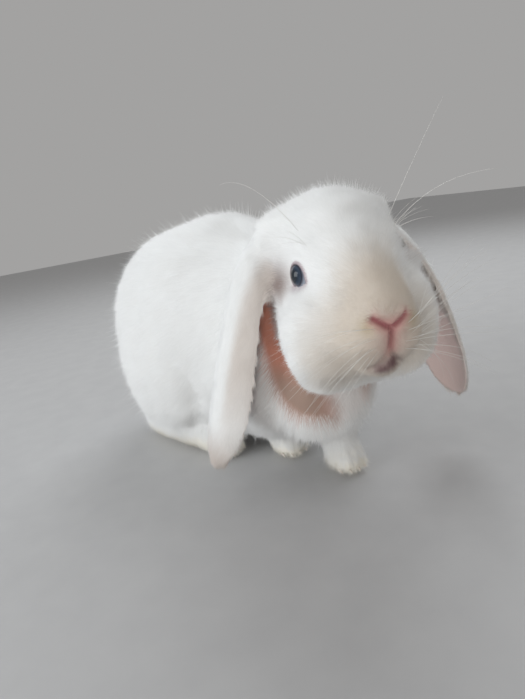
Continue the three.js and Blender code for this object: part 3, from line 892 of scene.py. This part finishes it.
def tuftMesh(name, place, normal, light, lie, length, width, lift, shade, spot, kind):
    count = len(place)
    across = unit(np.cross(lie, normal))
    rise, run, size = np.sin(lift)[:, None], np.cos(lift)[:, None], length[:, None]

    half = (width / 2)[:, None] * across
    crest = (width * coatSettings["flatness"])[:, None] * normal
    root = place - normal * 0.3 * millimetre + size * 0.06 * lie
    tip = place + size * (run * lie + rise * normal)
    corners = np.stack([root - half, root + crest, root + half, tip], 1)
    corners[..., 2] = np.maximum(corners[..., 2], 0.2 * millimetre)  # none goes through the floor
    own = unit(normal * run - lie * rise)
    soft = coatSettings["softness"]
    facing = np.stack([unit(soft * light + (1 - soft) * (own + lean * across)) for lean in (-1, 0, 1, 0)], 1)
    under = np.repeat(-own[:, None], 3, 1)
    shape = np.array([(0, 2, 1), (3, 0, 1), (3, 1, 2), (3, 2, 0)])
    faces = (shape[None] + 4 * np.arange(count)[:, None, None]).reshape(-1, 3)
    mesh = bpy.data.meshes.new(name)
    mesh.vertices.add(count * 4)
    mesh.loops.add(len(faces) * 3)
    mesh.polygons.add(len(faces))
    mesh.vertices.foreach_set("co", corners.astype(np.float32).ravel())
    mesh.polygons.foreach_set("loop_start", np.arange(len(faces), dtype=np.int32) * 3)
    mesh.polygons.foreach_set("use_smooth", np.ones(len(faces), bool))
    mesh.loops.foreach_set("vertex_index", faces.astype(np.int32).ravel())
    mesh.update(calc_edges=True)
    turned = np.concatenate([under, facing[:, [3, 0, 1]], facing[:, [3, 1, 2]], under], 1)
    mesh.normals_split_custom_set(turned.reshape(-1, 3))
    shift = np.array([(-1, -1), (-1, 0), (-1, 1), (1, 0)]) * 0.0015
    spots = (spot[:, None] + shift[None]).reshape(-1, 2)[faces.ravel()]
    mesh.uv_layers.new(name="OFBake").data.foreach_set("uv", spots.astype(np.float32).ravel())
    addTint(mesh, np.repeat(shade, 4, axis=0))
    made = bpy.data.objects.new(name, mesh)
    bpy.context.collection.objects.link(made)
    return made


skinMap = unwrap(skin)
print("skin unwrapped")
bulk = tuftsFrom(Roots(skin.data, traits[:, 3]))
crown = (kinds == "head") * smoothStep(14, 34, local[:, 2])
stray = tuftsFrom(Roots(skin.data, traits[:, 3] * (coatSettings["strayShare"] + 0.16 * crown)), 1.15, 0.55, 2.7)
tufts = {key: np.concatenate([bulk[key], stray[key]]) for key in bulk}
coatGroups = {
    "head": ["head"], "ears": ["ear"], "trunk": ["trunk", "neck", "tail"], "legs": ["thigh", "foreleg"],
    "feet": ["hind_foot", "forepaw"],
}
for group, members in coatGroups.items():
    chosen = np.flatnonzero(np.isin(tufts["kind"], members))
    chosen = chosen[np.argsort(tufts["place"][chosen, 1], kind="stable")]
    print("coat of the", group, "has", len(chosen), "tufts")
    for n, part in enumerate(np.array_split(chosen, math.ceil(len(chosen) / coatSettings["pieceTufts"]))):
        piece = tuftMesh(f"coat_{group}_{n + 1}", **{key: values[part] for key, values in tufts.items()})
        piece.visible_shadow = False  # light comes through the hair, and the skin casts the shadow
        coatLook.wear(piece)
        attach(piece, "root")
print("coat made")

# ---- whiskers and claws ----

whiskerSettings = {
    "brow": {  # the long ones, in the head's frame, mm
        "brow_whisker_left_1": [(24, -4, 22), (38, -6, 50), (55, -8, 81)],
        "brow_whisker_left_2": [(25, -6, 17), (46, -17, 38), (72, -31, 45)],
        "brow_whisker_right_1": [(-24, 2, 24), (-44, 10, 48), (-60, 22, 52)],
    },
    "radius": 0.15,
    "rows": 4,
    "inRow": {-1: 3, 1: 5},
    "length": {-1: (45, 72), 1: (60, 90)},
}


def curveThrough(controls, count):
    a, b, c = (np.array(point, float) for point in controls)
    t = np.linspace(0, 1, count)[:, None]
    middle = 2 * b - (a + c) / 2
    return (1 - t) ** 2 * a + 2 * t * (1 - t) * middle + t ** 2 * c


def tube(path, radii, ring):  # points and faces of a closed, tapered tube
    steps = unit(np.gradient(path, axis=0))
    across = unit(np.cross(steps, (0.3, 0.2, 1)))
    upward = np.cross(steps, across)
    turns = np.linspace(0, 2 * math.pi, ring, endpoint=False)
    rings = path[:, None] + radii[:, None, None] * (
        np.cos(turns)[:, None] * across[:, None] + np.sin(turns)[:, None] * upward[:, None])
    count = len(path)
    faces = [(i * ring + j, i * ring + (j + 1) % ring, (i + 1) * ring + (j + 1) % ring, (i + 1) * ring + j)
             for i in range(count - 1) for j in range(ring)]
    faces += [tuple(range(ring))[::-1], tuple((count - 1) * ring + j for j in range(ring))]
    return rings.reshape(-1, 3), faces


def joinedTubes(name, tubes):
    points, faces = [], []
    for tubePoints, tubeFaces in tubes:
        faces += [tuple(n + len(points) for n in face) for face in tubeFaces]
        points += list(tubePoints)
    made = newObject(name, points, faces)
    tidyNormals(made)
    return made


def whiskerTube(controls, radius):
    path = fromHead(curveThrough(controls, 14))
    path[:, 2] = np.maximum(path[:, 2], 2 * millimetre)
    return tube(path, radius * millimetre * np.linspace(1, 0.3, 14), 5)


def keepInside(path):  # within the model's own box
    low, high = np.array(cadBox)
    return np.clip(path, low, high)


def padWhiskers(side):
    tubes = []
    tree = BVHTree.FromObject(skin, bpy.context.evaluated_depsgraph_get())
    for row in range(whiskerSettings["rows"]):
        for n in range(whiskerSettings["inRow"][side]):
            jitter = seeded.normal(0, 1, 6)
            start = np.array([(8 + 2.1 * n + 0.4 * jitter[0]) * side, -58 + 2.2 * n, -15.5 - 4.2 * row + 0.5 * jitter[1]])
            root = toHead(np.array([tree.find_nearest(Vector(fromHead(start)))[0]]))[0]
            heading = math.radians(3 + 11 * n + 4 * jitter[2])
            rise = math.radians((26 if side > 0 else -8) - 15 * row - 2 * n + 5 * jitter[3])
            out = np.array([side * math.cos(heading) * math.cos(rise), math.sin(heading) * math.cos(rise), math.sin(rise)])
            length = np.interp(n + 0.5 * jitter[4], (0, 5), whiskerSettings["length"][side])
            sag = np.array([0, 0.08, (-0.1 if side > 0 else -0.18) - 0.03 * jitter[5]]) * length
            controls = (root - out * 0.6, root + out * length * 0.5 - sag * 0.1, root + out * length + sag)
            tubes.append(whiskerTube(controls, whiskerSettings["radius"] * (0.8 if side > 0 else 0.6)))
    return tubes


def browHairs(side):
    tubes = []
    tree = BVHTree.FromObject(skin, bpy.context.evaluated_depsgraph_get())
    for n in range(3 if side < 0 else 8):
        jitter = seeded.normal(0, 1, 5)
        start = np.array([(22 + 1.2 * jitter[0]) * side, -8 + 2.2 * jitter[1], 18 + 1.5 * jitter[2]])
        root = toHead(np.array([tree.find_nearest(Vector(fromHead(start)))[0]]))[0]
        out = unit(np.array([side * 0.8, -0.25 + 0.2 * jitter[3], 0.55 + 0.2 * jitter[4]]))
        length = 13 + 13 * seeded.random()
        controls = (root - out * 0.6, root + out * length * 0.5, root + out * length + (0, 0, -0.14 * length))
        tubes.append(whiskerTube(controls, 0.09))
    return tubes


def whiskerFinish():
    finish = Finish("whisker")
    band = finish.noise(120.0, 2.0)
    finish.set(Base_Color=finish.blend(band, (0.93, 0.92, 0.9), (0.78, 0.76, 0.72)), Roughness=0.25 + 0.2 * band)
    return finish.set(Specular_IOR_Level=0.6)


def clawFinish():
    finish = Finish("claw")
    grain = finish.noise(260.0, 4.0)
    finish.set(Base_Color=finish.blend(grain, (0.80, 0.74, 0.68), (0.66, 0.59, 0.53)), Roughness=0.3 + 0.2 * grain)
    return finish.bumped(finish.noise(900.0, 2.0), 0.25, 0.0002)


def clawTube(name):  # curved, from inside the toe to a blunt tip
    corners = pointsOf(nodes[name].data)
    foot = middleOf(("hind_foot_" if name.startswith("hind") else "forepaw_") + name.split("_")[2])
    tip = corners[np.argmax(np.linalg.norm((corners - foot)[:, :2], axis=1))]
    base = corners[np.argsort(np.linalg.norm(corners - tip, axis=1))[-4:]].mean(0)
    tip = base + (tip - base) * 0.65  # the rest is in the fur
    inside = base + (base - tip) * 0.9
    t = np.linspace(0, 1, 9)[:, None]
    path = (1 - t) ** 2 * inside + 2 * t * (1 - t) * ((inside + tip) / 2 + (0, 0, 1.2 * millimetre)) + t ** 2 * tip
    path[:, 2] = np.maximum(path[:, 2], 1.3 * millimetre)
    return tube(path, millimetre * 1.05 * np.sqrt(np.linspace(1, 0.03, 9)), 8)


whiskerLook, clawLook = whiskerFinish(), clawFinish()


def finishPiece(piece, look, slot, *replaced):
    look.wear(piece)
    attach(piece, "root")
    if replaced:
        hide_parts(*replaced)


for name, controls in whiskerSettings["brow"].items():
    long = joinedTubes(f"fine_{name}", [whiskerTube(controls, whiskerSettings["radius"])])
    finishPiece(long, whiskerLook, "whisker", name)
for side, sign in sides.items():
    finishPiece(joinedTubes(f"whiskers_{side}", padWhiskers(sign)), whiskerLook, "whisker")
    finishPiece(joinedTubes(f"brow_hairs_{side}", browHairs(sign)), whiskerLook, "whisker")
for name in [name for name in nodes if "_claw_" in name]:
    finishPiece(joinedTubes(f"fine_{name}", [clawTube(name)]), clawLook, "claw", name)
print("whiskers and claws made")

# ---- camera, floor and light ----

cameraSettings = {
    "standoff": (-0.1844, -0.3601, 0.200),  # from the frame's origin
    "heading": -26,  # degrees from +Y
    "downward": 16.06,
    "roll": -9.26,
    "lens": 27.04,
}
lightSettings = {  # the way to each from the rabbit's head, its distance and size in metres, and watts
    "window": {"way": (-0.963, 0.27, 0.22), "away": 1.5, "size": 0.85, "power": 7.2, "colour": (0.93, 0.97, 1.0)},
    "key": {"way": (-0.72, 0.3, 0.62), "away": 1.5, "size": 1.4, "power": 4.5, "colour": (0.94, 0.97, 1.0)},
    "front": {"way": (-0.62, -0.78, 0.04), "away": 1.2, "size": 0.4, "power": 2.9, "colour": (1.0, 0.97, 0.93)},
    "fill": {"way": (0.6, -0.7, 0.3), "away": 1.6, "size": 1.2, "power": 0.3, "colour": (1.0, 0.78, 0.56)},
    "rim": {"way": (0.5, 0.5, 0.7), "away": 1.4, "size": 0.8, "power": 9, "colour": (0.95, 0.98, 1.0)},
}
worldSettings = {"colour": (0.87, 0.86, 0.85), "strength": 0.42}


def makeCamera():
    data = bpy.data.cameras.new("camera")
    data.lens = cameraSettings["lens"]
    data.sensor_width = 36
    camera = bpy.data.objects.new("camera", data)
    bpy.context.collection.objects.link(camera)
    turn = (Matrix.Rotation(math.radians(cameraSettings["heading"]), 4, "Z")
            @ Matrix.Rotation(math.radians(90 - cameraSettings["downward"]), 4, "X")
            @ Matrix.Rotation(math.radians(cameraSettings["roll"]), 4, "Z"))
    camera.matrix_world = Matrix.Translation(cameraSettings["standoff"]) @ turn
    bpy.context.scene.camera = camera


def makeLight(name, way, away, size, power, colour):
    data = bpy.data.lights.new(name, "AREA")
    data.size = size
    data.energy = power
    data.color = colour
    light = bpy.data.objects.new(name, data)
    bpy.context.collection.objects.link(light)
    light.location = head.translation + Vector(way).normalized() * away
    light.rotation_euler = (head.translation - light.location).to_track_quat("-Z", "Y").to_euler()
    light.visible_camera = False
    light.visible_glossy = name == "window"  # one light in the eyes


def floorFinish():
    finish = Finish("floor")
    grain = finish.noise(40.0, 6.0)
    finish.set(Base_Color=finish.blend(grain, (0.54, 0.54, 0.54), (0.48, 0.48, 0.485)), Roughness=0.5 + 0.2 * grain)
    return finish


makeCamera()
for name, values in lightSettings.items():
    makeLight(name, **values)
world = bpy.data.worlds.new("world")
bpy.context.scene.world = world
world.use_nodes = True
background = world.node_tree.nodes["Background"]
background.inputs["Color"].default_value = (*worldSettings["colour"], 1)
background.inputs["Strength"].default_value = worldSettings["strength"]
bpy.context.scene.view_settings.view_transform = "Standard"

floor = newObject("floor", [(-3, -3, 0), (3, -3, 0), (3, 3, 0), (-3, 3, 0)], [(0, 1, 2, 3)])
floorFinish().wear(floor)
print("stage set")
